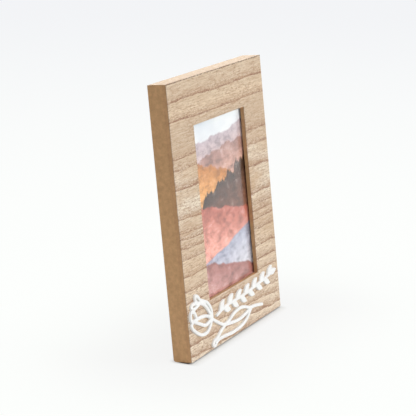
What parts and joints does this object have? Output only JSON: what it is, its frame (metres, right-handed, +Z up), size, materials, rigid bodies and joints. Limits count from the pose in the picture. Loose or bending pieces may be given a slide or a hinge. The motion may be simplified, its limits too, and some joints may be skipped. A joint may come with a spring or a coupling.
{
  "type": "picture frame",
  "caption": "Deep wooden picture frame that leans back on a hinged strut, with a veneered front, a glazed window and raised white floral ornaments.",
  "frame": {"origin": "on the table, at the middle of the narrow strip that the bottom rail stands on", "axes": "+Z up, +X to the right seen from the front, +Y from the front to the rear where the strut stands"},
  "size_m": [0.17, 0.05, 0.2202],
  "materials": {
    "veneer": "matte open-grained veneer",
    "fibreboard": "matte cut fibreboard",
    "glass": "clear polished",
    "print": "semi-gloss printed paper",
    "card": "matte corrugated card",
    "backing": "smooth dark fibreboard",
    "steel": "zinc plated",
    "button_steel": "zinc plated",
    "white_paint": "white painted, satin"
  },
  "bodies": {
    "frame": {"face_veneer": "veneer", "front_board": "fibreboard", "top_rail": "fibreboard", "bottom_rail": "fibreboard", "left_stile": "fibreboard", "right_stile": "fibreboard", "v_nail_bottom_left_outer": "steel", "v_nail_bottom_left_inner": "steel", "v_nail_bottom_right_outer": "steel", "v_nail_bottom_right_inner": "steel", "v_nail_top_left_outer": "steel", "v_nail_top_left_inner": "steel", "v_nail_top_right_outer": "steel", "v_nail_top_right_inner": "steel", "glass_pane": "glass", "picture_print": "print", "filler_card_front": "card", "filler_card_rear": "card", "backing_board": "backing", "hinge_leaf_fixed": "steel", "hinge_pin": "steel", "board_rivet_left": "steel", "board_rivet_right": "steel", "button_screw_left_upper": "steel", "button_screw_left_lower": "steel", "button_screw_right_upper": "steel", "button_screw_right_lower": "steel", "flower_ornament": "white_paint", "sprig_ornament": "white_paint"},
    "strut": {"strut": "backing", "hinge_leaf_moving": "steel", "strut_rivet_left": "steel", "strut_rivet_right": "steel"},
    "button_left_upper": {"turn_button_left_upper": "button_steel"},
    "button_left_lower": {"turn_button_left_lower": "button_steel"},
    "button_right_upper": {"turn_button_right_upper": "button_steel"},
    "button_right_lower": {"turn_button_right_lower": "button_steel"}
  },
  "joints": [
    {"name": "strut_fold", "type": "hinge", "parent": "frame", "child": "strut", "pos_m": [0, 0.01937, 0.14871], "axis": [1, 0, 0], "range_deg": [-11, 0]},
    {"name": "turn_left_upper", "type": "hinge", "parent": "frame", "child": "button_left_upper", "pos_m": [-0.0595, 0.01817, 0.15386], "axis": [0, 0.9951, -0.0993], "continuous": true},
    {"name": "turn_left_lower", "type": "hinge", "parent": "frame", "child": "button_left_lower", "pos_m": [-0.0595, 0.00923, 0.0643], "axis": [0, 0.9951, -0.0993], "continuous": true},
    {"name": "turn_right_upper", "type": "hinge", "parent": "frame", "child": "button_right_upper", "pos_m": [0.0595, 0.01817, 0.15386], "axis": [0, 0.9951, -0.0993], "continuous": true},
    {"name": "turn_right_lower", "type": "hinge", "parent": "frame", "child": "button_right_lower", "pos_m": [0.0595, 0.00923, 0.0643], "axis": [0, 0.9951, -0.0993], "continuous": true}
  ]
}
